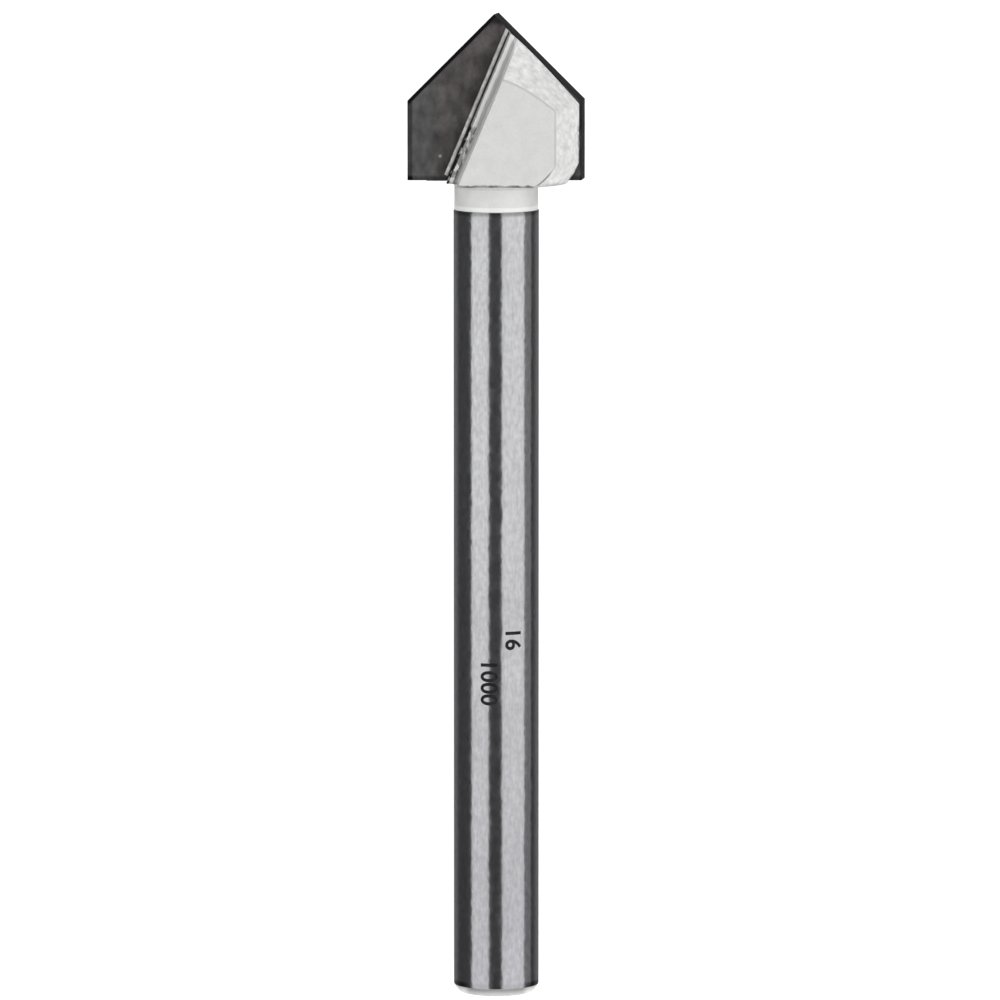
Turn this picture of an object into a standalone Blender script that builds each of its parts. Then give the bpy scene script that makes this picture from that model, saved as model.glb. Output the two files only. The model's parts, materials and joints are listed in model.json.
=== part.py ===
"""Spade-point drill bit for glass and tile, lying on its side.

It is a round steel shank with a slotted head, a carbide plate with a right-angled point, and the
braze that holds the plate in its slot. Lengths are in metres and angles in radians.

The pieces are modelled in the drill's own frame: the axis is Z, the shank's end face is at Z = 0,
the point is up and the front is towards -Y. The head looks the same after half a turn about the
axis, so whatever is cut on the front is cut again on the back. An empty then lays the drill down.
"""

import math

import bmesh
import bpy
from mathutils import Matrix, Vector

# Shank and collar
SHANK_DIAMETER = 0.0077
SHANK_LENGTH = 0.07125
END_CHAMFER = 0.0005
COLLAR_DIAMETER = 0.00755
COLLAR_LENGTH = 0.00255
COLLAR_FILLET = 0.0003

# Steel head
HEAD_DIAMETER = 0.0152
RIM_WIDTH = 0.0012
RIM_HEIGHT = 0.002
RIM_FULLNESS = 1.2
FLAT_DISTANCE = 0.0056
FLANK_STEEPER = math.radians(4.8)
FLANK_RISE = 0.00238
FLANK_SIDE_SHIFT = 0.00118
FLANK_BACK_SHIFT = 0.00132

# Flutes, one in front of each lip
FLUTE_SLANT = math.radians(22.8)
FLUTE_FOOT = 0.00337
FLUTE_FILLET = 0.00166

# Carbide plate
CUTTING_DIAMETER = 0.016
PLATE_THICKNESS = 0.0025
PLATE_SIDE = 0.0072
POINT_ANGLE = math.radians(90)
LIP_RELIEF = math.radians(7)
SIDE_RELIEF = math.radians(6)
SIDE_TAPER = math.radians(0.6)
LAND_WIDTH = 0.00025
LAND_ANGLE = math.radians(20)

# Braze, with the clearance that each face keeps to its neighbour
BRAZE_THICKNESS = 0.0001
BRAZE_BED = 0.00031
BRAZE_BEAD = 0.00045
BED_MARGIN = 0.00015
CLEARANCE = 0.00002

# Slot floor below the head's underside, so that the slot opens the overhang right through
SLOT_SINK = 0.00005

# Roundness of the turned shapes and of the flutes' fillets
TURNED_STEPS = 80
RIM_STEPS = 3
FILLET_STEPS = 6
FLUTE_STEPS = 12
SHARP_ANGLE = math.radians(25)

# Points nearer to each other than this are one point
SAME_POINT = 0.000001

# Heights along the axis
shoulder_z = SHANK_LENGTH + COLLAR_LENGTH
slot_floor_z = shoulder_z - SLOT_SINK
plate_bottom_z = slot_floor_z + BRAZE_BED + 2 * CLEARANCE
corner_z = plate_bottom_z + PLATE_SIDE
half_point = POINT_ANGLE / 2
lip_apex_z = corner_z + CUTTING_DIAMETER / 2 / math.tan(half_point)
chisel_drop = PLATE_THICKNESS / 2 * math.tan(LIP_RELIEF) / math.sin(half_point)
tip_z = lip_apex_z - chisel_drop
flank_apex_z = lip_apex_z + FLANK_RISE

# Distances from the axis
shank_radius = SHANK_DIAMETER / 2
collar_radius = COLLAR_DIAMETER / 2
head_radius = HEAD_DIAMETER / 2
plate_half = PLATE_THICKNESS / 2
slot_half = plate_half + BRAZE_THICKNESS + 2 * CLEARANCE

# How far a cutter stands out of what it cuts, how far that is from the axis, and right across
overshoot = head_radius / 2
cutter_reach = head_radius + overshoot
cutter_span = 2 * cutter_reach


def own_collection(name):
    collection = bpy.data.collections.new(name)
    bpy.context.scene.collection.children.link(collection)
    return collection


def metal(name, colour, roughness):
    material = bpy.data.materials.new(name)
    material.use_nodes = True
    shader = material.node_tree.nodes["Principled BSDF"]
    shader.inputs["Base Color"].default_value = (*colour, 1)
    shader.inputs["Metallic"].default_value = 1
    shader.inputs["Roughness"].default_value = roughness
    return material


def placed(name, mesh, parent, collection, material=None):
    """A new object that holds the mesh. Without a material it is a cutter."""
    obj = bpy.data.objects.new(name, mesh)
    obj.parent = parent
    collection.objects.link(obj)
    if material:
        mesh.materials.clear()
        mesh.materials.append(material)
    else:
        obj.hide_render = True
        obj.display_type = "WIRE"
    return obj


def mesh_of(bm, name):
    mesh = bpy.data.meshes.new(name)
    bm.to_mesh(mesh)
    bm.free()
    return mesh


def box_between(low, high):
    """A bmesh box from one corner to the other."""
    low = Vector(low)
    high = Vector(high)
    bm = bmesh.new()
    size = Matrix.Diagonal((*(high - low), 1))
    bmesh.ops.create_cube(bm, size=1, matrix=Matrix.Translation((low + high) / 2) @ size)
    return bm


def turned_mesh(name, profile):
    """A solid of revolution about Z. The profile of (radius, height) points runs down its outside."""
    outline = bpy.data.meshes.new(name + "_profile")
    points = [(radius, 0, height) for radius, height in profile]
    outline.from_pydata(points, [(i, i + 1) for i in range(len(points) - 1)], [])
    lathe = bpy.data.objects.new(name + "_profile", outline)
    bpy.context.scene.collection.objects.link(lathe)
    screw = lathe.modifiers.new("turn", "SCREW")
    screw.steps = TURNED_STEPS
    screw.render_steps = TURNED_STEPS
    screw.use_merge_vertices = True
    screw.merge_threshold = SAME_POINT
    graph = bpy.context.evaluated_depsgraph_get()
    mesh = bpy.data.meshes.new_from_object(lathe.evaluated_get(graph))
    bpy.data.objects.remove(lathe)
    mesh.name = name
    mesh.shade_smooth()
    mesh.set_sharp_from_angle(angle=SHARP_ANGLE)
    return mesh


def boolean(obj, other, operation="DIFFERENCE"):
    modifier = obj.modifiers.new(other.name, "BOOLEAN")
    modifier.operation = operation
    modifier.object = other


def half_turn(index):
    """The turn about the axis that puts a front shape on the front (0) or on the back (1)."""
    return Matrix.Rotation(math.pi * index, 4, "Z")


def quarter_turn(steps):
    """The angles of a quarter circle's points."""
    return [math.pi / 2 * step / steps for step in range(steps + 1)]


def head_profile(top, inset):
    """The head's outside from a height down and round its lower rim, inset by that much. The rim
    is between a chamfer, whose fullness would be 1, and a quarter of an ellipse, at 2."""
    profile = [(0, top), (head_radius - inset, top)]
    for angle in quarter_turn(RIM_STEPS):
        outward = (RIM_WIDTH - inset) * max(math.cos(angle), 0) ** (2 / RIM_FULLNESS)
        down = (RIM_HEIGHT - inset) * math.sin(angle) ** (2 / RIM_FULLNESS)
        profile.append((head_radius - RIM_WIDTH + outward, shoulder_z + RIM_HEIGHT - down))
    return profile


def steel_profile():
    """The blank's outside, from the top of the head down to the shank's end face."""
    profile = head_profile(flank_apex_z, 0)
    for angle in quarter_turn(FILLET_STEPS):
        outward = COLLAR_FILLET * (1 - math.sin(angle))
        down = COLLAR_FILLET * (1 - math.cos(angle))
        profile.append((collar_radius + outward, shoulder_z - down))
    step = shank_radius - collar_radius
    profile += [
        (collar_radius, SHANK_LENGTH),
        (shank_radius, SHANK_LENGTH - abs(step)),
        (shank_radius, END_CHAMFER),
        (shank_radius - END_CHAMFER, 0),
        (0, 0),
    ]
    return profile


def flat_cutter(index):
    """What lies outside the flat on one cheek."""
    bottom = shoulder_z - overshoot
    top = flank_apex_z + overshoot
    bm = box_between(
        (-cutter_reach, -cutter_reach, bottom), (cutter_reach, -FLAT_DISTANCE, top)
    )
    bm.transform(half_turn(index))
    return mesh_of(bm, "flat_cutter")


def flank_cone(index):
    """The cone that one cheek's top is ground to. Its axis lies beside the drill's, towards the
    lip, so the steel falls away behind the cutting edge."""
    height = cutter_span / math.tan(half_point - FLANK_STEEPER)
    bm = bmesh.new()
    bmesh.ops.create_cone(
        bm,
        cap_ends=True,
        segments=TURNED_STEPS,
        radius1=cutter_span,
        radius2=0,
        depth=height,
    )
    axis = Vector((-FLANK_SIDE_SHIFT, FLANK_BACK_SHIFT, flank_apex_z - height / 2))
    bm.transform(half_turn(index) @ Matrix.Translation(axis))
    return mesh_of(bm, "flank_cone")


def flank_block(index):
    """The half of the space above the shoulder that the flank cone is taken out of."""
    bm = box_between(
        (-cutter_reach, -cutter_reach, shoulder_z),
        (cutter_reach, 0, flank_apex_z + overshoot),
    )
    bm.transform(half_turn(index))
    return mesh_of(bm, "flank_block")


def flute_cutter(index, floor, wall_offset, fillet):
    """A slanted block over one flute, from its floor outwards. The block's wall stands wall_offset
    to the lip's side of the flute's own wall, and a fillet joins wall and floor."""
    end_rise = (head_radius - FLUTE_FOOT) * math.tan(FLUTE_SLANT)
    below = (plate_bottom_z - shoulder_z + end_rise + overshoot) * math.cos(FLUTE_SLANT)
    above = (flank_apex_z - plate_bottom_z) / math.cos(FLUTE_SLANT)
    bm = box_between((-cutter_span, -cutter_reach, -below), (0, -floor, above))
    if fillet:
        corner = [v for v in bm.verts if math.hypot(v.co.x, v.co.y + floor) < SAME_POINT]
        inner = [edge for edge in bm.edges if all(vert in corner for vert in edge.verts)]
        bmesh.ops.bevel(
            bm, geom=inner, offset=fillet, segments=FLUTE_STEPS, profile=0.5, affect="EDGES"
        )
    foot = Matrix.Translation((-FLUTE_FOOT - wall_offset, 0, plate_bottom_z))
    bm.transform(half_turn(index) @ foot @ Matrix.Rotation(FLUTE_SLANT, 4, "Y"))
    return mesh_of(bm, "flute_cutter")


def make_steel_body(parent, parts, cutters, material):
    """Shank, collar and head, turned and then milled from one piece."""
    body = placed("steel_body", turned_mesh("steel_body", steel_profile()), parent, parts, material)
    for index, side in enumerate(("front", "back")):
        flat = placed(side + "_flat_cutter", flat_cutter(index), parent, cutters)
        boolean(body, flat)
        flank = placed(side + "_flank_cutter", flank_block(index), parent, cutters)
        boolean(flank, placed(side + "_flank_cone", flank_cone(index), parent, cutters))
        boolean(body, flank)
        flute = flute_cutter(index, plate_half, 0, FLUTE_FILLET)
        boolean(body, placed(side + "_flute_cutter", flute, parent, cutters))
    slot = box_between(
        (-cutter_reach, -slot_half, slot_floor_z),
        (cutter_reach, slot_half, flank_apex_z + overshoot),
    )
    boolean(body, placed("slot_cutter", mesh_of(slot, "slot_cutter"), parent, cutters))


def trim(bm, point, normal):
    """Cuts off what lies beyond the plane, on the side that its normal points to."""
    bmesh.ops.bisect_plane(
        bm,
        geom=bm.verts[:] + bm.edges[:] + bm.faces[:],
        plane_co=point,
        plane_no=normal,
        clear_outer=True,
    )
    bmesh.ops.holes_fill(bm, edges=[edge for edge in bm.edges if edge.is_boundary])


def make_carbide_plate(parent, parts, material):
    """The plate: a block trimmed to two relieved lips, their lands and two relieved sides, which
    taper a little towards the shank."""
    half_width = CUTTING_DIAMETER / 2
    bm = box_between((-half_width, -plate_half, plate_bottom_z), (half_width, plate_half, lip_apex_z))
    face = Vector((0, -1, 0))
    across_lip = Vector((-math.cos(half_point), 0, math.sin(half_point)))
    apex = Vector((0, -plate_half, lip_apex_z))
    corner = Vector((-half_width, -plate_half, corner_z))
    flank = across_lip * math.cos(LIP_RELIEF) - face * math.sin(LIP_RELIEF)
    side = Vector((-math.cos(SIDE_RELIEF), math.sin(SIDE_RELIEF), -math.sin(SIDE_TAPER)))
    land = face * math.cos(LAND_ANGLE) + across_lip * math.sin(LAND_ANGLE)
    planes = ((apex, flank), (corner, side), (apex - across_lip * LAND_WIDTH, land))
    for index in range(2):
        turn = half_turn(index)
        for point, normal in planes:
            trim(bm, turn @ point, turn @ normal)
    bmesh.ops.recalc_face_normals(bm, faces=bm.faces)
    placed("carbide_plate", mesh_of(bm, "carbide_plate"), parent, parts, material)


def bead_offset():
    """How far the braze's edge on the plate's face lies from the flute's wall, level with the slot."""
    above_floor = slot_half - plate_half
    under = math.sqrt(FLUTE_FILLET**2 - (FLUTE_FILLET - above_floor) ** 2)
    return (FLUTE_FILLET - under + BRAZE_BEAD) / math.cos(FLUTE_SLANT)


def make_braze_layer(parent, parts, cutters, material):
    """The braze: a film on each face of the plate and a bed under it, all in one."""
    film_half = slot_half - CLEARANCE
    bed_z = slot_floor_z + CLEARANCE
    slab = box_between((-cutter_reach, -film_half, bed_z), (cutter_reach, film_half, flank_apex_z))
    layer = placed("braze_layer", mesh_of(slab, "braze_layer"), parent, parts, material)
    profile = head_profile(flank_apex_z + overshoot, BRAZE_THICKNESS)
    profile += [(collar_radius, shoulder_z + BRAZE_THICKNESS), (collar_radius, 0), (0, 0)]
    envelope = turned_mesh("braze_envelope", profile)
    boolean(layer, placed("braze_envelope", envelope, parent, cutters), "INTERSECT")
    plate_room = box_between(
        (-cutter_reach, -plate_half - CLEARANCE, plate_bottom_z - CLEARANCE),
        (cutter_reach, plate_half + CLEARANCE, flank_apex_z + overshoot),
    )
    boolean(layer, placed("plate_room", mesh_of(plate_room, "plate_room"), parent, cutters))
    for index, side in enumerate(("front", "back")):
        overhang = box_between(
            (-cutter_reach, -slot_half, bed_z - overshoot),
            (BED_MARGIN - collar_radius, slot_half, plate_bottom_z),
        )
        overhang.transform(half_turn(index))
        name = side + "_overhang_cutter"
        boolean(layer, placed(name, mesh_of(overhang, name), parent, cutters))
        boolean(layer, bpy.data.objects[side + "_flank_cutter"])
        seam = flute_cutter(index, CLEARANCE, bead_offset(), 0)
        boolean(layer, placed(side + "_seam_cutter", seam, parent, cutters))


def lay_down(axis):
    """Turns and lifts the drill's frame to where it comes to rest: on the shank's end and on the
    lower edge of the back flat, with the middle of its box over the origin."""
    tilt = math.atan2(FLAT_DISTANCE - shank_radius, shoulder_z - END_CHAMFER)
    near_y = -(shank_radius - END_CHAMFER) * math.sin(tilt)
    far_y = tip_z * math.cos(tilt) + plate_half * math.sin(tilt)
    axis.rotation_euler = (tilt - math.pi / 2, 0, 0)
    axis.location.y = -(near_y + far_y) / 2
    axis.location.z = FLAT_DISTANCE * math.cos(tilt) - shoulder_z * math.sin(tilt)


def main():
    for obj in list(bpy.data.objects):
        bpy.data.objects.remove(obj)
    parts = own_collection("tile_drill_bit")
    cutters = own_collection("cutters")
    axis = bpy.data.objects.new("drill_axis", None)
    parts.objects.link(axis)
    steel = metal("ground_steel", colour=(0.56, 0.56, 0.55), roughness=0.3)
    carbide = metal("carbide", colour=(0.09, 0.08, 0.075), roughness=0.4)
    braze = metal("braze", colour=(0.62, 0.6, 0.55), roughness=0.35)
    make_steel_body(axis, parts, cutters, steel)
    make_carbide_plate(axis, parts, carbide)
    make_braze_layer(axis, parts, cutters, braze)
    lay_down(axis)


main()
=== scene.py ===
import contextlib
import json
import math

import bmesh
import bpy
from mathutils import Matrix, Vector


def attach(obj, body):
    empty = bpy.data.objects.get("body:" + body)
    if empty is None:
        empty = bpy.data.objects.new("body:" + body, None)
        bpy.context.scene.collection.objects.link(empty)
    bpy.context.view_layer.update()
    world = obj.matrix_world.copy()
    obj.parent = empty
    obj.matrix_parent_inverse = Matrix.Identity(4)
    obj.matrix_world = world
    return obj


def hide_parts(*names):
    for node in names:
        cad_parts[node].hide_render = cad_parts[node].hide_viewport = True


bl_info = {
    "name": "Glass and Tile Drill Bit",
    "version": (1, 0, 0),
    "blender": (4, 5, 0),
    "location": "3D View > Sidebar > Tile Drill",
    "description": "Models the dressed tile drill piece by piece, with its finishes and its studio",
    "category": "Add Mesh",
}

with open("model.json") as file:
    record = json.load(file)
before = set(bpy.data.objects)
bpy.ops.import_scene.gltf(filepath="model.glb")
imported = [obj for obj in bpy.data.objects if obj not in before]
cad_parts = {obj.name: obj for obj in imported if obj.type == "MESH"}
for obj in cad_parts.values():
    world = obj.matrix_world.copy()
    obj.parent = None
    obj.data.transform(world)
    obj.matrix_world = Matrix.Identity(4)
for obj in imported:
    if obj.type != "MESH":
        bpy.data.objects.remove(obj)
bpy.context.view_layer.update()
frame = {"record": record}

MM = 0.001
SAME_POINT = 0.000001
ROUND_STEPS = 192
UP = Vector((0, 0, 1))


def resting_place():
    """The drill's own frame, laid down: axis along Z, end face at Z = 0, front towards -Y."""
    end = next(mount for mount in frame["record"]["mounts"] if mount["name"] == "shank_end")
    along = -Vector(end["axis"]).normalized()
    across = Vector((1, 0, 0))
    turn = Matrix((across, along.cross(across), along)).transposed()
    return Matrix.Translation(end["pos_m"]) @ turn.to_4x4()


RESTING = resting_place()


# Sizes, colours and lights

def length(name, description, default):
    return bpy.props.FloatProperty(
        name=name, description=description, default=default, min=0, unit="LENGTH", precision=5
    )


def angle(name, description, degrees):
    return bpy.props.FloatProperty(
        name=name, description=description, default=math.radians(degrees), subtype="ANGLE"
    )


def colour(name, description, default):
    return bpy.props.FloatVectorProperty(
        name=name, description=description, default=default, min=0, max=1, subtype="COLOR"
    )


def amount(name, description, default, most=1):
    return bpy.props.FloatProperty(
        name=name, description=description, default=default, min=0, max=most, subtype="FACTOR"
    )


class DrillSizes(bpy.types.PropertyGroup):
    """Lengths of the drill, measured in its own frame."""

    shank_diameter: length("Shank Diameter", "Round part that the chuck grips", 0.0077)
    shank_length: length("Shank Length", "From the end face to the collar", 0.07145)
    end_chamfer: length("End Chamfer", "Chamfer round the shank's end, across", 0.0005)
    end_chamfer_height: length("End Chamfer Height", "The same chamfer along the axis", 0.0007)
    collar_diameter: length("Collar Diameter", "Turned neck under the head", 0.00755)
    collar_length: length("Collar Length", "From the shank to the head", 0.00235)
    collar_fillet: length("Collar Fillet", "Hollow between collar and head", 0.0003)
    head_diameter: length("Head Diameter", "Steel head, across its round cheeks", 0.0152)
    rim_width: length("Rim Width", "Rounding of the head's lower rim, across", 0.0012)
    rim_height: length("Rim Height", "Rounding of the head's lower rim, along the axis", 0.002)
    rim_fullness: bpy.props.FloatProperty(
        name="Rim Fullness",
        description="1 is a chamfer and 2 is a quarter of an ellipse",
        default=1.2,
    )
    flat_distance: length("Flat Distance", "From the axis to each milled flat", 0.0056)
    flank_steeper: angle("Flank Steeper", "How much steeper the ground cone is than the lip", 4.8)
    flank_rise: length("Flank Rise", "Height of the ground cone's apex over the lips'", 0.00246)
    flank_side_shift: length("Flank Side Shift", "Cone's axis towards the lip", 0.00118)
    flank_back_shift: length("Flank Back Shift", "Cone's axis behind the drill's", 0.00132)
    flute_slant: angle("Flute Slant", "Lean of each flute's wall from the axis", 22.8)
    flute_foot: length("Flute Foot", "From the axis to the wall, at the plate's bottom", 0.00337)
    flute_fillet: length("Flute Fillet", "Radius between the flute's floor and wall", 0.00166)
    cutting_diameter: length("Cutting Diameter", "Hole that the plate cuts", 0.016)
    plate_thickness: length("Plate Thickness", "Thickness of the carbide plate", 0.0025)
    plate_side: length("Plate Side", "Height of the plate's upright sides", 0.0072)
    point_angle: angle("Point Angle", "Angle between the two lips", 90)
    lip_relief: angle("Lip Relief", "Relief ground behind each lip", 7)
    side_relief: angle("Side Relief", "Relief ground behind each upright side", 6)
    side_taper: angle("Side Taper", "How much the sides close towards the shank", 0.6)
    land_width: length("Land Width", "Dark bevel along each lip", 0.00025)
    land_angle: angle("Land Angle", "Slope of that bevel from the plate's face", 20)
    braze_thickness: length("Braze Thickness", "Film on each face of the plate", 0.0001)
    braze_bed: length("Braze Bed", "Braze under the plate", 0.00031)
    bead_width: length("Bead Width", "Bead of braze in the corner of each flute", 0.00045)
    bead_height: length("Bead Height", "How far that bead stands off the plate", 0.00019)
    clearance: length("Clearance", "Hairline between neighbouring pieces", 0.00002)
    slot_sink: length("Slot Sink", "Slot's floor below the head's underside", 0.00005)
    edge_softness: length("Edge Softness", "Width of the broken edges of the steel", 0.00007)
    digit_height: length("Digit Height", "Height of the numbers marked on the shank", 0.00157)
    diameter_mark: length("Diameter Mark", "From the end face to the number's middle", 0.03258)
    diameter_turn: angle("Diameter Turn", "Round the shank from the front", 23.9)
    speed_mark: length("Speed Mark", "From the end face to the number's middle", 0.02863)
    speed_turn: angle("Speed Turn", "Round the shank from the front", -9.8)

    @property
    def shoulder(self):
        return self.shank_length + self.collar_length

    @property
    def slot_floor(self):
        return self.shoulder - self.slot_sink

    @property
    def plate_bottom(self):
        return self.slot_floor + self.braze_bed + 2 * self.clearance

    @property
    def plate_half(self):
        return self.plate_thickness / 2

    @property
    def slot_half(self):
        return self.plate_half + self.braze_thickness + 2 * self.clearance

    @property
    def bead_start(self):
        """From the flute's wall to where its fillet meets the film, square to the wall."""
        above_floor = self.slot_half - self.plate_half
        under = math.sqrt(self.flute_fillet**2 - (self.flute_fillet - above_floor) ** 2)
        return self.flute_fillet - under

    @property
    def lip_apex(self):
        rise = self.cutting_diameter / 2 / math.tan(self.point_angle / 2)
        return self.plate_bottom + self.plate_side + rise

    @property
    def flank_apex(self):
        return self.lip_apex + self.flank_rise

    @property
    def reach(self):
        """Half the width of every cutter, well outside the head."""
        return self.head_diameter * 0.75


class DrillFinish(bpy.types.PropertyGroup):
    """Colours and roughness of the drill's metals."""

    shank_colour: colour("Shank", "Ground steel", (0.548, 0.548, 0.558))
    shank_roughness: amount("Shank Roughness", "Ground steel", 0.165)
    head_colour: colour("Head", "Blasted steel", (0.745, 0.745, 0.737))
    head_roughness: amount("Head Roughness", "Blasted steel", 0.6)
    carbide_colour: colour("Carbide", "Sintered carbide", (0.084, 0.0755, 0.0755))
    # Near black: a painted dark reflection in the ground lands and sides of the carbide.
    carbide_edge_reflection: colour("Carbide Edge", "Ground lands of the carbide", (0.004, 0.004, 0.004))
    carbide_roughness: amount("Carbide Roughness", "Sintered carbide", 0.45)
    braze_colour: colour("Braze", "Silver braze", (0.62, 0.61, 0.60))
    mark_colour: colour("Marks", "Laser marks on the shank", (0.012, 0.012, 0.013))
    # Tint of the painted shade towards the shank's end.
    far_shade_tint: colour("Far Tint", "Shade of the shank towards its end", (0.865, 0.855, 0.88))
    fleck_colour: colour("Fleck", "Pale fleck on the carbide", (0.3, 0.25, 0.22))


class DrillStudio(bpy.types.PropertyGroup):
    """Camera and lights."""

    camera_distance: length("Camera Distance", "From the drill's axis", 0.85)
    camera_beyond: length("Camera Beyond", "How far beyond the lips' apex", 0.058)
    camera_aside: length("Camera Aside", "How far beside the axis", 0.00034)
    camera_pitch: angle("Camera Pitch", "How far it looks back along the drill", 6.865)
    lens: bpy.props.FloatProperty(
        name="Lens", description="Focal length for a 36 mm frame", default=340.42, unit="CAMERA"
    )
    strip_glow: amount("Strip Glow", "Brightness of both strip lights", 1.0, 10)
    strip_distance: length("Strip Distance", "From the drill to each strip light", 0.4)
    strip_span: length("Strip Span", "Length of each strip light, along the drill", 1.2)
    left_outer: angle("Left Strip, Outer Edge", "Seen from the drill, from straight above", -70)
    left_inner: angle("Left Strip, Inner Edge", "Seen from the drill, from straight above", -20)
    right_inner: angle("Right Strip, Inner Edge", "Seen from the drill, from straight above", 15)
    right_outer: angle("Right Strip, Outer Edge", "Seen from the drill, from straight above", 82)
    dim_inner: angle("Dim Strip, Inner Edge", "Seen from the drill, from straight above", 84)
    dim_outer: angle("Dim Strip, Outer Edge", "Seen from the drill, from straight above", 108)
    dim_share: amount("Dim Strip Share", "Brightness of the dim strip beside the others'", 0.2)
    overhead_glow: amount("Overhead Glow", "Brightness of the soft overhead light", 0.55, 10)
    overhead_height: length("Overhead Height", "From the floor to the overhead light", 1.5)
    overhead_size: length("Overhead Size", "Side of the square overhead light", 2)
    point_glow: amount("Point Glow", "Brightness of the light beyond the point", 0.2, 10)
    end_glow: amount("End Glow", "Brightness of the light beyond the shank's end", 0.69, 10)
    side_distance: length("Side Light Distance", "From the drill to those two lights", 0.7)
    side_height: length("Side Light Height", "From the floor to those two lights", 0.25)
    side_size: length("Side Light Size", "Side of each of those two square lights", 0.6)
    side_tilt: angle("Side Light Tilt", "From facing down towards facing the drill", 75)
    floor_size: length("Floor Size", "Side of the square floor", 12)
    floor_colour: colour("Floor", "Pale studio floor", (0.9, 0.9, 0.9))
    floor_glow: amount("Floor Glow", "Light of its own that keeps the floor white", 0.55)
    floor_near: length("Floor Near", "Within it the floor glows only that much", 0.2)
    floor_far: length("Floor Far", "Beyond it the floor is plain white and shows no edge", 1.0)
    dark_colour: colour("Dark Room", "What metal reflects elsewhere", (0.0735, 0.0735, 0.0757))
    low_colour: colour("Low Room", "What metal reflects low down", (0.2, 0.2, 0.205))
    end_colour: colour("Room's Ends", "What metal reflects at the room's two ends", (0.3, 0.3, 0.3))


# Modelling, as by hand

def deselect():
    bpy.ops.object.select_all(action="DESELECT")


def take(piece):
    """Selects one piece alone and makes it active."""
    deselect()
    piece.select_set(True)
    bpy.context.view_layer.objects.active = piece


@contextlib.contextmanager
def edit_mode():
    bpy.ops.object.mode_set(mode="EDIT")
    yield
    bpy.ops.object.mode_set(mode="OBJECT")


def select_edges(test):
    """Selects the edges that pass the test and nothing else."""
    bpy.ops.mesh.select_all(action="DESELECT")
    bpy.ops.mesh.select_mode(type="EDGE")
    mesh = bpy.context.object.data
    bm = bmesh.from_edit_mesh(mesh)
    for edge in bm.edges:
        edge.select_set(test(edge))
    bmesh.update_edit_mesh(mesh)


def named(name):
    """Gives the new piece its name."""
    piece = bpy.context.object
    piece.name = name
    piece.data.name = name
    return piece


def settle(piece, place=None):
    """Puts the place of a piece into its mesh."""
    take(piece)
    if place:
        piece.matrix_world = place @ piece.matrix_world
    bpy.ops.object.transform_apply()
    return piece


def block(name, low, high):
    """A block from its lowest to its highest corner."""
    low = Vector(low)
    high = Vector(high)
    deselect()
    bpy.ops.mesh.primitive_cube_add(size=1, location=(low + high) / 2)
    piece = named(name)
    piece.scale = high - low
    return settle(piece)


def turned(name, profile):
    """Spins a profile of (radius, height) points into a closed shape about the drill's axis."""
    points = [Vector((radius, 0, height)) for radius, height in profile]
    deselect()
    bpy.ops.mesh.primitive_plane_add(size=MM)
    piece = named(name)
    with edit_mode():
        bpy.ops.mesh.merge(type="CENTER")
        bpy.ops.transform.translate(value=points[0])
        for here, there in zip(points, points[1:]):
            bpy.ops.mesh.extrude_region_move(TRANSFORM_OT_translate={"value": there - here})
        bpy.ops.mesh.select_all(action="SELECT")
        bpy.ops.mesh.spin(steps=ROUND_STEPS, angle=math.tau, center=(0, 0, 0), axis=UP)
        bpy.ops.mesh.select_all(action="SELECT")
        bpy.ops.mesh.remove_doubles(threshold=SAME_POINT)
        bpy.ops.mesh.normals_make_consistent(inside=False)
    return piece


def slice_off(point, normal):
    """In edit mode, cuts off what lies beyond a plane and closes the cut."""
    bpy.ops.mesh.select_all(action="SELECT")
    bpy.ops.mesh.bisect(plane_co=point, plane_no=normal, use_fill=True, clear_outer=True)


def combine(piece, tool, operation="DIFFERENCE"):
    """Cuts the tool out of the piece, or keeps what both share, and throws the tool away."""
    take(piece)
    bpy.ops.object.modifier_add(type="BOOLEAN")
    modifier = piece.modifiers[-1]
    modifier.operation = operation
    modifier.object = tool
    bpy.ops.object.modifier_apply(modifier=modifier.name)
    bpy.data.objects.remove(tool)


def soften(piece, width, sharp=25, segments=2):
    """Breaks the sharp edges of a piece and shades its curves smooth."""
    take(piece)
    if width:
        bpy.ops.object.modifier_add(type="BEVEL")
        modifier = piece.modifiers[-1]
        modifier.width = width
        modifier.segments = segments
        modifier.limit_method = "ANGLE"
        modifier.angle_limit = math.radians(sharp)
        modifier.use_clamp_overlap = False
        bpy.ops.object.modifier_apply(modifier=modifier.name)
    bpy.ops.object.shade_smooth_by_angle(angle=math.radians(sharp))
    bpy.ops.object.modifier_add(type="WEIGHTED_NORMAL")
    piece.modifiers[-1].keep_sharp = True
    piece.modifiers[-1].weight = 100
    bpy.ops.object.modifier_apply(modifier=piece.modifiers[-1].name)


def half_turn(index):
    """What is on the front is on the back again, after half a turn about the axis."""
    return Matrix.Rotation(math.pi * index, 4, "Z")


def quarter(steps):
    return [math.pi / 2 * step / steps for step in range(steps + 1)]


def hand_over(piece, node=None):
    """Lays a finished piece down where the drill rests and ties it to the frame."""
    settle(piece, RESTING)
    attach(piece, "root")
    if node:
        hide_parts(node)
    deselect()


# Shapes

def head_profile(sizes, top, inset=0):
    """The head's outside, down from a height and round its lower rim."""
    radius = sizes.head_diameter / 2
    power = 2 / sizes.rim_fullness
    profile = [(0, top), (radius - inset, top)]
    for turn in quarter(16):
        outward = (sizes.rim_width - inset) * max(math.cos(turn), 0) ** power
        down = (sizes.rim_height - inset) * math.sin(turn) ** power
        profile.append(
            (radius - sizes.rim_width + outward, sizes.shoulder + sizes.rim_height - down)
        )
    return profile


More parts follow.
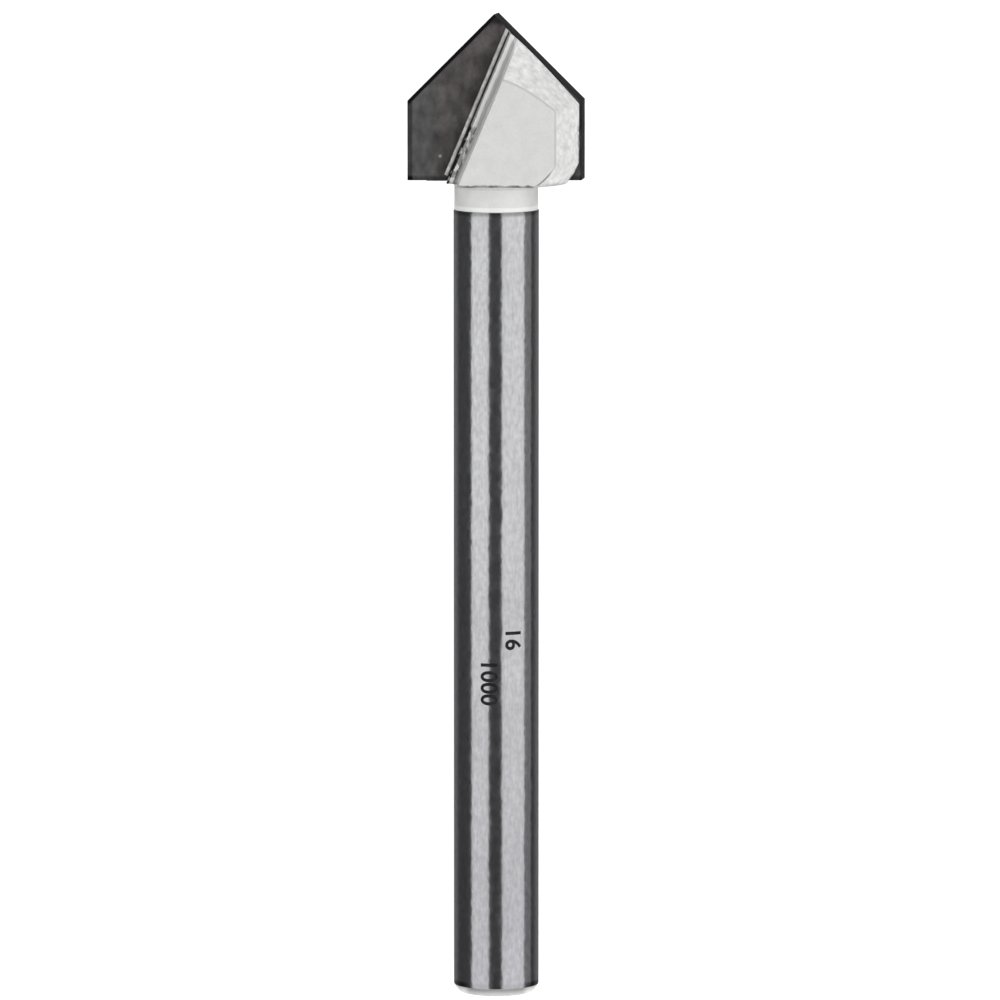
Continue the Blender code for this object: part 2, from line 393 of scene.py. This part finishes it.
def steel_profile(sizes):
    """The turned blank, from the top of the head down to the shank's end face."""
    profile = head_profile(sizes, sizes.flank_apex)
    collar = sizes.collar_diameter / 2
    shank = sizes.shank_diameter / 2
    fillet = sizes.collar_fillet
    for turn in quarter(8):
        profile.append(
            (collar + fillet * (1 - math.sin(turn)), sizes.shoulder - fillet * (1 - math.cos(turn)))
        )
    profile += [
        (collar, sizes.shank_length),
        (shank, sizes.shank_length - (shank - collar)),
        (shank, sizes.end_chamfer_height),
        (shank - sizes.end_chamfer, 0),
        (0, 0),
    ]
    return profile


def flank_tool(sizes, index):
    """All that is ground off one cheek's top: half the space above the shoulder, less a cone."""
    reach = sizes.reach
    top = sizes.flank_apex + reach
    tool = block("flank_tool", (-reach, -reach, sizes.shoulder), (reach, 0, top))
    height = 2 * reach / math.tan(sizes.point_angle / 2 - sizes.flank_steeper)
    deselect()
    bpy.ops.mesh.primitive_cone_add(
        vertices=ROUND_STEPS,
        radius1=2 * reach,
        radius2=0,
        depth=height,
        location=(-sizes.flank_side_shift, sizes.flank_back_shift, sizes.flank_apex - height / 2),
    )
    combine(tool, settle(named("flank_cone")))
    return settle(tool, half_turn(index))


def flute_tool(sizes, index, floor, wall_offset, fillet):
    """A slanted block over one flute, with a fillet between its floor and its wall."""
    reach = sizes.reach
    below = 2 * reach
    above = (sizes.flank_apex - sizes.plate_bottom) / math.cos(sizes.flute_slant)
    tool = block("flute_tool", (-2 * reach, -reach, -below), (0, -floor, above))
    if fillet:
        with edit_mode():
            select_edges(
                lambda edge: all(
                    math.hypot(end.co.x, end.co.y + floor) < SAME_POINT for end in edge.verts
                )
            )
            bpy.ops.mesh.bevel(offset=fillet, segments=24, profile=0.5)
    foot = Matrix.Translation((-sizes.flute_foot - wall_offset, 0, sizes.plate_bottom))
    return settle(tool, half_turn(index) @ foot @ Matrix.Rotation(sizes.flute_slant, 4, "Y"))


def model_steel_body(sizes):
    """Shank, collar and head, turned from one bar and then milled and ground."""
    body = turned("steel_drill_body", steel_profile(sizes))
    reach = sizes.reach
    for index in range(2):
        flat = block(
            "flat_tool",
            (-reach, -reach, sizes.shoulder - reach),
            (reach, -sizes.flat_distance, sizes.flank_apex + reach),
        )
        combine(body, settle(flat, half_turn(index)))
        combine(body, flank_tool(sizes, index))
        combine(body, flute_tool(sizes, index, sizes.plate_half, 0, sizes.flute_fillet))
    slot = block(
        "slot_tool",
        (-reach, -sizes.slot_half, sizes.slot_floor),
        (reach, sizes.slot_half, sizes.flank_apex + reach),
    )
    combine(body, slot)
    soften(body, sizes.edge_softness)
    return body


def model_carbide_plate(sizes):
    """The plate, ground to two relieved lips with a land each, and two relieved sides."""
    half_width = sizes.cutting_diameter / 2
    half_point = sizes.point_angle / 2
    plate = block(
        "ground_carbide_plate",
        (-half_width, -sizes.plate_half, sizes.plate_bottom),
        (half_width, sizes.plate_half, sizes.lip_apex),
    )
    face = Vector((0, -1, 0))
    across = Vector((-math.cos(half_point), 0, math.sin(half_point)))
    apex = Vector((0, -sizes.plate_half, sizes.lip_apex))
    corner = Vector((-half_width, -sizes.plate_half, sizes.plate_bottom + sizes.plate_side))
    flank = across * math.cos(sizes.lip_relief) - face * math.sin(sizes.lip_relief)
    side = Vector(
        (-math.cos(sizes.side_relief), math.sin(sizes.side_relief), -math.sin(sizes.side_taper))
    )
    land = face * math.cos(sizes.land_angle) + across * math.sin(sizes.land_angle)
    cuts = ((apex, flank), (corner, side), (apex - across * sizes.land_width, land))
    with edit_mode():
        for index in range(2):
            for point, normal in cuts:
                slice_off(half_turn(index) @ point, half_turn(index) @ normal)
    soften(plate, 0.00002, sharp=12)
    return plate


def bead_rod(sizes, index):
    """The rounded bead along one flute, from the plate's bottom up past the ground flank."""
    wide = sizes.bead_width / 2
    middle = sizes.bead_start + wide
    span = (sizes.flank_apex - sizes.plate_bottom) / math.cos(sizes.flute_slant)
    deselect()
    place = (-middle, -sizes.plate_half, span / 2)
    bpy.ops.mesh.primitive_cylinder_add(vertices=32, radius=1, depth=1, location=place)
    rod = named("bead_rod")
    rod.scale = (wide, sizes.bead_height, span)
    settle(rod)
    foot = Matrix.Translation((-sizes.flute_foot, 0, sizes.plate_bottom))
    settle(rod, half_turn(index) @ foot @ Matrix.Rotation(sizes.flute_slant, 4, "Y"))
    combine(rod, flank_tool(sizes, index))
    return rod


def model_braze(sizes):
    """Films on the plate's two faces, the bed under it, and a bead in the corner of each flute."""
    reach = sizes.reach
    film = sizes.slot_half - sizes.clearance
    bed = sizes.slot_floor + sizes.clearance
    collar = sizes.collar_diameter / 2
    braze = block("silver_braze", (-reach, -film, bed), (reach, film, sizes.flank_apex))
    profile = head_profile(sizes, sizes.flank_apex + reach, sizes.braze_thickness)
    profile += [(collar, sizes.shoulder + sizes.braze_thickness), (collar, 0), (0, 0)]
    combine(braze, turned("braze_envelope", profile), "INTERSECT")
    bead = (sizes.bead_start + sizes.bead_width) / math.cos(sizes.flute_slant)
    for index in range(2):
        overhang = block(
            "overhang_tool",
            (-reach, -sizes.slot_half, bed - reach),
            (0.00015 - collar, sizes.slot_half, sizes.plate_bottom),
        )
        combine(braze, settle(overhang, half_turn(index)))
        combine(braze, flank_tool(sizes, index))
        combine(braze, flute_tool(sizes, index, sizes.clearance, bead, 0))
        combine(braze, bead_rod(sizes, index), "UNION")
    room = block(
        "plate_room",
        (-reach, -sizes.plate_half - sizes.clearance, sizes.plate_bottom - sizes.clearance),
        (reach, sizes.plate_half + sizes.clearance, sizes.flank_apex + reach),
    )
    combine(braze, room)
    soften(braze, 0.00003)
    return braze


def model_mark(sizes, digits, middle, turn):
    """A number marked round the shank, read from the point down. Its turn is from the front."""
    radius = sizes.shank_diameter / 2
    deselect()
    bpy.ops.object.text_add()
    text = bpy.context.object
    text.data.body = digits
    text.data.align_x = "CENTER"
    text.data.align_y = "CENTER"
    text.data.offset = 0.022
    bpy.ops.object.convert(target="MESH")
    mark = named("shank_mark_" + digits)
    size = sizes.digit_height / mark.dimensions.y
    mark.scale = (size, size, size)
    settle(mark)
    rows = 12
    with edit_mode():
        for row in range(1, rows):
            bpy.ops.mesh.select_all(action="SELECT")
            level = sizes.digit_height * (row / rows - 0.5)
            bpy.ops.mesh.bisect(plane_co=(0, level, 0), plane_no=(0, 1, 0))
    centre = sum((Vector(corner) for corner in mark.bound_box), Vector()) / 8
    for vertex in mark.data.vertices:
        along, up, _ = vertex.co - centre
        around = turn + up / radius
        vertex.co = (radius * math.sin(around), -radius * math.cos(around), middle - along)
    take(mark)
    bpy.ops.object.modifier_add(type="SOLIDIFY")
    mark.modifiers[-1].thickness = 0.00001
    mark.modifiers[-1].offset = 1
    bpy.ops.object.modifier_apply(modifier=mark.modifiers[-1].name)
    return mark


# Finishes

class Signal:
    """A shader socket in an expression. Each operator adds its Math node."""

    def __init__(self, finish, socket):
        self.finish = finish
        self.socket = socket

    def math(self, operation, *values):
        sockets = dict(enumerate(values))
        return self.finish.node("ShaderNodeMath", {"operation": operation}, sockets)

    def __add__(self, other):
        return self.math("ADD", self, other)

    def __sub__(self, other):
        return self.math("SUBTRACT", self, other)

    def __rsub__(self, other):
        return self.math("SUBTRACT", other, self)

    def __mul__(self, other):
        return self.math("MULTIPLY", self, other)

    __radd__ = __add__
    __rmul__ = __mul__

    def size(self):
        return self.math("ABSOLUTE", self)

    def root(self):
        return self.math("SQRT", self)

    def rings(self):
        """From 0 to 1 and back, once in every 2 pi."""
        return self.math("SINE", self) * 0.5 + 0.5

    def step(self, low, high):
        """0 below low and 1 above high, with a soft step between."""
        return self.finish.node(
            "ShaderNodeMapRange",
            {"interpolation_type": "SMOOTHSTEP"},
            {"Value": self, "From Min": low, "From Max": high},
        )

    def band(self, low, high, soft):
        """1 between low and high and 0 outside, with soft steps."""
        return self.step(low - soft, low) * (1 - self.step(high, high + soft))


class Finish:
    """A procedural finish, with coordinates in millimetres in the drill's own frame."""

    def __init__(self, name):
        self.material = bpy.data.materials.new(name)
        self.material.use_nodes = True
        self.tree = self.material.node_tree
        self.shader = self.tree.nodes["Principled BSDF"]
        object_place = self.node("ShaderNodeTexCoord", {}, {}, "Object")
        self.place = self.node(
            "ShaderNodeMapping",
            {"vector_type": "TEXTURE"},
            {
                "Vector": object_place,
                "Location": RESTING.translation,
                "Rotation": RESTING.to_euler(),
                "Scale": (MM, MM, MM),
            },
        )
        self.x = self.part("X")
        self.y = self.part("Y")
        self.z = self.part("Z")

    def node(self, kind, settings, sockets, output=0):
        """Adds a node with its settings, then its sockets' values or links."""
        node = self.tree.nodes.new(kind)
        for name, value in settings.items():
            setattr(node, name, value)
        for name, value in sockets.items():
            self.feed(node.inputs[name], value)
        return Signal(self, node.outputs[output])

    def feed(self, socket, value):
        if isinstance(value, Signal):
            self.tree.links.new(value.socket, socket)
        else:
            socket.default_value = value

    def part(self, axis):
        return self.node("ShaderNodeSeparateXYZ", {}, {"Vector": self.place}, axis)

    def noise(self, scale, detail=2, stretch=(1, 1, 1)):
        """Noise from 0 to 1. The scale is in waves a millimetre."""
        stretched = self.node(
            "ShaderNodeVectorMath", {"operation": "MULTIPLY"}, {0: self.place, 1: stretch}
        )
        return self.node(
            "ShaderNodeTexNoise", {}, {"Vector": stretched, "Scale": scale, "Detail": detail}
        )

    def blend(self, factor, first, second):
        """The first colour where the factor is 0, and the second where it is 1."""
        colours = [
            value if isinstance(value, Signal) else (*value, 1) for value in (first, second)
        ]
        return self.node(
            "ShaderNodeMix",
            {"data_type": "RGBA"},
            {0: factor, 6: colours[0], 7: colours[1]},
            2,
        )

    def lit(self, tone, strength):
        """A colour made lighter or darker by a varying amount."""
        return self.node(
            "ShaderNodeMix",
            {"data_type": "RGBA", "blend_type": "MULTIPLY"},
            {0: 1.0, 6: tone, 7: strength},
            2,
        )

    def off_centre(self):
        """Distance from the drill's axis."""
        return (self.x * self.x + self.y * self.y).root()

    def from_flute(self, sizes):
        """Distance from the nearer flute's wall, measured square to it."""
        front = 1 - self.y.step(-0.01, 0.01) * 2
        lean = sizes.flute_slant
        beside = self.x * front + sizes.flute_foot / MM
        above = self.z - sizes.plate_bottom / MM
        return above * math.sin(lean) - beside * math.cos(lean)

    def bump(self, height, strength, depth):
        """A bump from a height from 0 to 1, as deep as that many millimetres."""
        return self.node(
            "ShaderNodeBump", {}, {"Height": height, "Strength": strength, "Distance": depth * MM}
        )

    def wear(self, piece, **sockets):
        """Sets the shader's own sockets and puts the finish on the piece."""
        for name, value in sockets.items():
            self.feed(self.shader.inputs[name.replace("_", " ")], value)
        piece.data.materials.clear()
        piece.data.materials.append(self.material)


def shaded(tone, strength):
    """A colour made lighter or darker."""
    return [min(1, channel * strength) for channel in tone]


def ground_shank(steel, sizes, look, height, blots, cut_off):
    """Colour of the ground shank: blotched and streaked, with painted shade towards its end, in a
    band below the collar and by the end chamfer.
    """
    collar_end = sizes.shank_length / MM
    chamfer = sizes.end_chamfer_height / MM
    streaks = steel.noise(5, 3, (1, 1, 0.18))
    drift = steel.noise(0.12, 2)
    rings = (steel.off_centre() * 16 + blots * 4).rings()
    tone = steel.blend(
        blots * 0.5 + streaks * 0.3 + drift * 0.2 + cut_off * (rings * 0.3 - blots * 0.3),
        shaded(look.shank_colour, 0.5),
        shaded(look.shank_colour, 1.45),
    )
    # Painted shade: the shank darker and cooler towards its end.
    shade_towards_end = 1 - steel.z.step(0, 62)
    tone = steel.blend(shade_towards_end, tone, steel.lit(tone, (*look.far_shade_tint, 1)))
    beside = steel.x.size().step(2.3, 3.0)
    # Painted shade in a band just below the collar and in a band above the end chamfer, darker at
    # the shank's sides.
    painted_shade_bands = height.band(collar_end - 0.22, collar_end, 0.35) * 0.45
    painted_shade_bands = painted_shade_bands + height.band(chamfer, chamfer + 0.25, 0.35) * (0.12 + beside * 0.6)
    return steel.lit(tone, 1 - painted_shade_bands)


def head_painted_light_and_spatter(steel, sizes, head, chamfered, height, wobble_noise, blots):
    """How light the blasted steel is, by place, on the head, the collar and the end chamfer:
    painted shade and painted highlights, random mottling and spots of braze and flux.
    """
    collar_end = sizes.shank_length / MM
    shoulder = sizes.shoulder / MM
    chamfer = sizes.end_chamfer_height / MM
    flat = sizes.flat_distance / MM
    slot = sizes.slot_half / MM
    patches = steel.noise(1.7, 4)
    off_axis = steel.y.size()
    aside = steel.x.size()
    above = steel.z.step(shoulder, shoulder + 0.1)

    # Painted shade along the edge between the flats and the rest of the head, darker low down.
    ridge = off_axis.band(flat - 0.2, flat - 0.07, 0.05) * steel.z.step(shoulder, shoulder + 0.3)
    low_ridge = ridge * (1 - steel.z.step(shoulder + 1, shoulder + 1.6))
    off_flat = head * (1 - off_axis.step(flat - 0.3, flat - 0.18)) * above

    # Painted shade just above the head's lower edge, on the flats and round the rim, with a ragged
    # boundary.
    ragged = height + patches * 0.36 - 0.18
    on_flat = off_axis.step(flat - 0.1, flat - 0.02)
    shade_under_flat = on_flat * (1 - ragged.step(shoulder + 0.1, shoulder + 0.26))
    shade_under_rim = off_flat * (1 - ragged.step(shoulder + 0.05, shoulder + 0.4))

    # The collar, a little lighter, with painted shade on its top under the head and a painted
    # highlight along its lower edge.
    collar = head * (1 - steel.z.step(shoulder - 0.1, shoulder))
    collar_top_shade = head * height.band(shoulder - 0.3, shoulder - 0.02, 0.2)
    collar_top_shade = collar_top_shade * (1 - off_axis.step(4, 4.4))
    rim_highlight = height.band(collar_end, collar_end + 0.3, 0.12)

    # The flutes, from the wall's top edge down into the corner beside the braze: painted shade on
    # the fillet, a painted highlight in the hollow and painted shade in the crevice.
    from_wall = steel.from_flute(sizes)
    # Painted highlight on the round cheeks, mottled at random.
    cheek = off_flat * (1 - from_wall.step(-0.12, 0))
    from_wall = from_wall + wobble_noise * 0.24 - 0.12
    in_flute = steel.z.step(shoulder - 0.1, shoulder)
    fillet = from_wall.band(0.14, 0.42, 0.06) * in_flute
    hollow = from_wall.band(0.46, 0.74, 0.06) * in_flute
    crevice_shade = from_wall.band(0.82, 1.1, 0.07) * in_flute

    # Spots of braze and flux beside the plate.
    spatter = off_flat * (1 - off_axis.step(slot + 0.2, slot + 0.9)) * blots.step(0.4, 0.5)
    spatter = spatter * steel.z.band(shoulder + 0.7, shoulder + 4.7, 1)

    near_point = steel.z.step(82, 87)
    # Painted highlight along the outer edges of the round cheeks.
    far_side_highlight = aside.step(6.4, 7.0)
    # Painted light and shade on the end chamfer: darker in the middle by the shank, lighter towards
    # the end face and at the sides.
    end = 1 - steel.z.step(chamfer, chamfer + 0.02)
    end_shade = end * (0.5 - aside.step(2.3, 3.0) * 0.45 - (1 - steel.z.step(0, chamfer)) * 0.6)
    return (
        1
        - ridge * 0.17
        - low_ridge * 0.4
        + cheek * (patches * 0.85 - 0.31)
        + collar * 0.07
        - chamfered * 0.08
        - shade_under_flat * wobble_noise * 1.3
        - shade_under_rim * patches * 0.7
        - spatter * 0.7
        - collar_top_shade * wobble_noise * 0.35
        + rim_highlight * 0.2
        + far_side_highlight * 0.08
        - end_shade
        - fillet * 0.3
        + hollow * 0.12
        - crevice_shade * 0.6
        + near_point * 0.08
    )


def finish_steel(piece, sizes, look):
    """Ground shank below, blasted collar and head above."""
    steel = Finish("ground_and_blasted_steel")
    collar_end = sizes.shank_length / MM
    chamfer = sizes.end_chamfer_height / MM
    end_face = (sizes.shank_diameter / 2 - sizes.end_chamfer) / MM
    # Wavy noise that moves the edges of bands and varies the strength of painted shade.
    wobble_noise = steel.noise(1.1, 4, (1, 1, 0.6))
    height = steel.z + wobble_noise * 0.12 - 0.06
    head = steel.z.step(collar_end - 0.07, collar_end - 0.02)
    chamfered = steel.off_centre().step(end_face - 0.02, end_face + 0.03)
    chamfered = chamfered * (1 - steel.z.step(chamfer - 0.03, chamfer + 0.02))
    cut_off = 1 - steel.z.step(0.01, 0.05)
    matte = head + chamfered
    polished = 1 - matte
    waves = steel.noise(0.8, 2, (1, 1, 0.7))
    blots = steel.noise(2.2, 3, (1, 1, 0.7))
    mottle = steel.noise(0.9, 4)
    grit = steel.noise(9, 2)
    shank = ground_shank(steel, sizes, look, height, blots, cut_off)
    blasted = steel.blend(
        mottle * 0.5 + grit * 0.5, shaded(look.head_colour, 0.82), shaded(look.head_colour, 1.18)
    )
    # Painted shade and painted highlights on the head, collar and end chamfer, with random mottling
    # and spots of braze and flux.
    strength = head_painted_light_and_spatter(steel, sizes, head, chamfered, height, wobble_noise, blots)
    shank_roughness = look.shank_roughness - 0.06 + blots * 0.12
    shank_relief = (waves * 0.8 + blots * 0.3) * (1 - cut_off)
    steel.wear(
        piece,
        Base_Color=steel.blend(matte, shank, steel.lit(blasted, strength)),
        Metallic=1 - matte * 0.6,
        Roughness=matte * look.head_roughness + polished * shank_roughness,
        Normal=steel.bump(matte * grit * 0.4 + polished * shank_relief, 0.85, 0.03),
    )


def finish_carbide(piece, sizes, look):
    """Sintered plate, with ground lands along its lips painted near black as their dark reflection,
    and painted shade beside the flute walls.
    """
    carbide = Finish("sintered_carbide")
    mottle = carbide.noise(0.55, 4)
    grain = carbide.noise(14, 2)
    tone = look.carbide_colour
    grey = sum(tone) / 3
    body = carbide.blend(mottle.step(0.35, 0.65), shaded(tone, 0.8), shaded(tone, 1.2))
    body = carbide.blend(grain.step(0.3, 0.7) * 0.5, body, shaded(tone, 0.7))
    outer = carbide.x.size().step(4.6, 6.4)
    body = carbide.blend(outer * 0.8, body, [grey * 1.15] * 3)
    # Painted shade on the plate beside the flute's wall, with a mottled boundary.
    seam_shade = 1 - (carbide.from_flute(sizes) + mottle * 0.8).step(1.9, 3.2)
    patches = carbide.noise(1.2, 4, (1, 1, 0.6))
    body = carbide.lit(body, 0.18 + patches * 1.68 - seam_shade * 0.35)
    bottom = sizes.plate_bottom / MM
    border = carbide.x.size().step(7.45, 7.65) + 1 - carbide.z.step(bottom + 0.2, bottom + 0.55)
    body = carbide.lit(body, 1 - border * 0.55)
    across = carbide.x + 5.05
    along = carbide.z - 76.3
    off_fleck = (across * across + along * along).step(0.01, 0.03)
    body = carbide.blend(1 - off_fleck, body, look.fleck_colour)
    # Painted dark reflection: the ground lands along the lips and at the tip are near black.
    below_lip = (sizes.lip_apex / MM - carbide.x.size() - carbide.z) * math.sqrt(0.5)
    land = 1 - (below_lip - mottle * 0.1).step(0.24, 0.34)
    tip = carbide.z.step(87.9, 88.5)
    lip = land.math("MAXIMUM", land, tip * 0.8)
    face = sizes.plate_half / MM
    # Painted dark reflection, a little less dark, on the plate's ground sides.
    ground = 1 - carbide.y.size().step(face - 0.07, face - 0.02)
    ground = ground * carbide.z.step(bottom, bottom + 0.05)
    body = carbide.blend(ground, body, shaded(look.carbide_edge_reflection, 3.5))
    carbide.wear(
        piece,
        Base_Color=carbide.blend(lip, body, look.carbide_edge_reflection),
        Metallic=0.0,
        Roughness=look.carbide_roughness + mottle * 0.08 - lip * 0.1,
        Specular_IOR_Level=0.1,
        Normal=carbide.bump(grain * 0.6 + mottle * 0.4, 0.3, 0.02),
    )


def finish_braze(piece, sizes, look):
    """Silver braze, dull where the flux sat, with painted shade in the crevice where the bead meets
    the flute.
    """
    braze = Finish("silver_braze")
    flow = braze.noise(1.6, 3)
    grain = braze.noise(8, 2)
    tone = look.braze_colour
    tone = braze.blend(flow.step(0.3, 0.7), shaded(tone, 0.75), shaded(tone, 1.25))
    # Painted shade in the crevice where the braze bead meets the flute's fillet.
    crevice_shade = braze.from_flute(sizes).band(0.9, 1.08, 0.1)
    braze.wear(
        piece,
        Base_Color=braze.lit(tone, 1 - crevice_shade * 0.75),
        Metallic=0.8,
        Roughness=0.38 + flow * 0.2,
        Normal=braze.bump(flow * 0.7 + grain * 0.3, 0.4, 0.04),
    )


def finish_mark(piece, sizes, look):
    """Dark oxide that a laser leaves."""
    mark = Finish("laser_mark")
    patchy = mark.noise(3, 3)
    mark.wear(
        piece,
        Base_Color=mark.blend(
            patchy.step(0.35, 0.7), look.mark_colour, shaded(look.mark_colour, 2.2)
        ),
        Metallic=0.0,
        Specular_IOR_Level=0.1,
        Roughness=0.5 + patchy * 0.1,
        Normal=mark.bump(patchy, 0.2, 0.01),
    )


# Studio

def add_lamp(name, place, turn, width, span, glow):
    """An area light that the camera doesn't see. A glow of 1 looks white in a mirror."""
    bpy.ops.object.light_add(type="AREA", location=place)
    lamp = bpy.context.object
    lamp.name = name
    lamp.rotation_euler = turn
    lamp.data.shape = "RECTANGLE"
    lamp.data.size = width
    lamp.data.size_y = span
    lamp.data.energy = glow * math.pi * width * span
    lamp.visible_camera = False
    return lamp


def add_strip(name, low, high, studio, glow):
    """A strip light along the drill. Its edges are seen from the axis at two angles from above."""
    middle = (low + high) / 2
    distance = studio.strip_distance
    width = 2 * distance * math.tan((high - low) / 2)
    place = Vector((math.sin(middle), 0, math.cos(middle))) * distance
    add_lamp(name, place, (0, middle, 0), width, studio.strip_span, glow)


def add_lights(studio):
    glow = studio.strip_glow
    add_strip("left_strip", studio.left_outer, studio.left_inner, studio, glow)
    add_strip("right_strip", studio.right_inner, studio.right_outer, studio, glow)
    add_strip("dim_strip", studio.dim_inner, studio.dim_outer, studio, glow * studio.dim_share)
    size = studio.overhead_size
    above = (0, 0, studio.overhead_height)
    overhead = add_lamp("overhead", above, (0, 0, 0), size, size, studio.overhead_glow)
    overhead.visible_glossy = False
    size = studio.side_size
    for name, side, glow in (
        ("beyond_point", 1, studio.point_glow),
        ("beyond_end", -1, studio.end_glow),
    ):
        place = (0, side * studio.side_distance, studio.side_height)
        add_lamp(name, place, (-side * studio.side_tilt, 0, 0), size, size, glow)


def build_floor(studio):
    """A pale floor, white all over for the camera but for the drill's soft shade."""
    deselect()
    bpy.ops.mesh.primitive_plane_add(size=studio.floor_size)
    floor = named("studio_floor")
    pale = Finish("studio_floor")
    off_middle = (pale.x * pale.x + pale.z * pale.z).root()
    away = off_middle.step(studio.floor_near / MM, studio.floor_far / MM)
    pale.wear(
        floor,
        Base_Color=(*studio.floor_colour, 1),
        Roughness=0.9,
        Specular_IOR_Level=0.1,
        Emission_Color=pale.blend(away, [studio.floor_glow] * 3, (1, 1, 1)),
        Emission_Strength=1.0,
    )
    floor.visible_glossy = False
    floor.visible_shadow = False


def build_room(studio):
    """A dark room for metal to reflect, lighter low down and at its ends, white for the camera."""
    world = bpy.context.scene.world or bpy.data.worlds.new("studio_room")
    bpy.context.scene.world = world
    world.use_nodes = True
    nodes = world.node_tree.nodes
    links = world.node_tree.links
    nodes.clear()

    def soft_step(source, low, high):
        step = nodes.new("ShaderNodeMapRange")
        step.interpolation_type = "SMOOTHSTEP"
        step.inputs["From Min"].default_value = low
        step.inputs["From Max"].default_value = high
        links.new(source, step.inputs["Value"])
        return step.outputs[0]

    def turn_to(factor, target):
        mix = nodes.new("ShaderNodeMix")
        mix.data_type = "RGBA"
        mix.inputs[7].default_value = (*target, 1)
        links.new(factor, mix.inputs[0])
        return mix

    direction = nodes.new("ShaderNodeTexCoord")
    split = nodes.new("ShaderNodeSeparateXYZ")
    links.new(direction.outputs["Generated"], split.inputs[0])
    low = turn_to(soft_step(split.outputs["Z"], -0.45, -0.85), studio.low_colour)
    low.inputs[6].default_value = (*studio.dark_colour, 1)
    off_middle = nodes.new("ShaderNodeMath")
    off_middle.operation = "ABSOLUTE"
    links.new(split.outputs["Y"], off_middle.inputs[0])
    ends = turn_to(soft_step(off_middle.outputs[0], 0.35, 0.6), studio.end_colour)
    links.new(low.outputs[2], ends.inputs[6])
    room = nodes.new("ShaderNodeBackground")
    links.new(ends.outputs[2], room.inputs["Color"])
    white = nodes.new("ShaderNodeBackground")
    white.inputs["Color"].default_value = (1, 1, 1, 1)
    path = nodes.new("ShaderNodeLightPath")
    choice = nodes.new("ShaderNodeMixShader")
    links.new(path.outputs["Is Camera Ray"], choice.inputs[0])
    links.new(room.outputs[0], choice.inputs[1])
    links.new(white.outputs[0], choice.inputs[2])
    output = nodes.new("ShaderNodeOutputWorld")
    links.new(choice.outputs[0], output.inputs["Surface"])


def set_camera(sizes, studio):
    """The photograph's viewpoint: in front of the drill, a little beyond its point."""
    bpy.ops.object.camera_add()
    camera = bpy.context.object
    camera.name = "studio_camera"
    height = sizes.lip_apex + studio.camera_beyond
    eye = Vector((studio.camera_aside, -studio.camera_distance, height))
    look = Matrix.Rotation(math.pi / 2 - studio.camera_pitch, 4, "X")
    camera.matrix_world = RESTING @ Matrix.Translation(eye) @ look
    camera.data.lens = studio.lens
    camera.data.sensor_width = 36
    camera.data.clip_end = 50
    bpy.context.scene.camera = camera


# Operators

class MakeSteelBody(bpy.types.Operator):
    """Turn, mill and finish the shank, collar and head"""

    bl_idname = "tile_drill.steel_body"
    bl_label = "Steel Body"

    def execute(self, context):
        sizes = context.scene.drill_sizes
        body = model_steel_body(sizes)
        finish_steel(body, sizes, context.scene.drill_finish)
        hand_over(body, "steel_body")
        return {"FINISHED"}


class MakeCarbidePlate(bpy.types.Operator):
    """Grind and finish the carbide plate"""

    bl_idname = "tile_drill.carbide_plate"
    bl_label = "Carbide Plate"

    def execute(self, context):
        sizes = context.scene.drill_sizes
        plate = model_carbide_plate(sizes)
        finish_carbide(plate, sizes, context.scene.drill_finish)
        hand_over(plate, "carbide_plate")
        return {"FINISHED"}


class MakeBraze(bpy.types.Operator):
    """Fill the slot round the plate with braze"""

    bl_idname = "tile_drill.braze"
    bl_label = "Braze"

    def execute(self, context):
        sizes = context.scene.drill_sizes
        braze = model_braze(sizes)
        finish_braze(braze, sizes, context.scene.drill_finish)
        hand_over(braze, "braze_layer")
        return {"FINISHED"}


class MarkShank(bpy.types.Operator):
    """Mark plain numbers on the shank"""

    bl_idname = "tile_drill.marks"
    bl_label = "Shank Marks"

    def execute(self, context):
        sizes = context.scene.drill_sizes
        marks = (
            ("16", sizes.diameter_mark, sizes.diameter_turn),
            ("1000", sizes.speed_mark, sizes.speed_turn),
        )
        for digits, middle, turn in marks:
            mark = model_mark(sizes, digits, middle, turn)
            finish_mark(mark, sizes, context.scene.drill_finish)
            hand_over(mark)
        return {"FINISHED"}


class BuildStudio(bpy.types.Operator):
    """Set the floor, the lights and the camera"""

    bl_idname = "tile_drill.studio"
    bl_label = "Studio"

    def execute(self, context):
        sizes = context.scene.drill_sizes
        studio = context.scene.drill_studio
        build_floor(studio)
        build_room(studio)
        add_lights(studio)
        set_camera(sizes, studio)
        context.scene.view_settings.view_transform = "Standard"
        return {"FINISHED"}


class TileDrillPanel(bpy.types.Panel):
    """The steps that make the drill and its studio"""

    bl_idname = "VIEW3D_PT_tile_drill"
    bl_label = "Tile Drill"
    bl_space_type = "VIEW_3D"
    bl_region_type = "UI"
    bl_category = "Tile Drill"

    def draw(self, context):
        for operator in STEPS:
            self.layout.operator(operator.bl_idname)
        for group in (
            context.scene.drill_sizes,
            context.scene.drill_finish,
            context.scene.drill_studio,
        ):
            box = self.layout.box()
            for name in group.__annotations__:
                box.prop(group, name)


STEPS = (MakeSteelBody, MakeCarbidePlate, MakeBraze, MarkShank, BuildStudio)
GROUPS = {"drill_sizes": DrillSizes, "drill_finish": DrillFinish, "drill_studio": DrillStudio}


def register():
    for item in (*GROUPS.values(), *STEPS, TileDrillPanel):
        bpy.utils.register_class(item)
    for name, group in GROUPS.items():
        setattr(bpy.types.Scene, name, bpy.props.PointerProperty(type=group))


def unregister():
    for name in GROUPS:
        delattr(bpy.types.Scene, name)
    for item in (TileDrillPanel, *reversed(STEPS), *reversed(GROUPS.values())):
        bpy.utils.unregister_class(item)


def main():
    register()
    bpy.ops.tile_drill.steel_body()
    bpy.ops.tile_drill.carbide_plate()
    bpy.ops.tile_drill.braze()
    bpy.ops.tile_drill.marks()
    bpy.ops.tile_drill.studio()


if __name__ == "__main__":
    main()
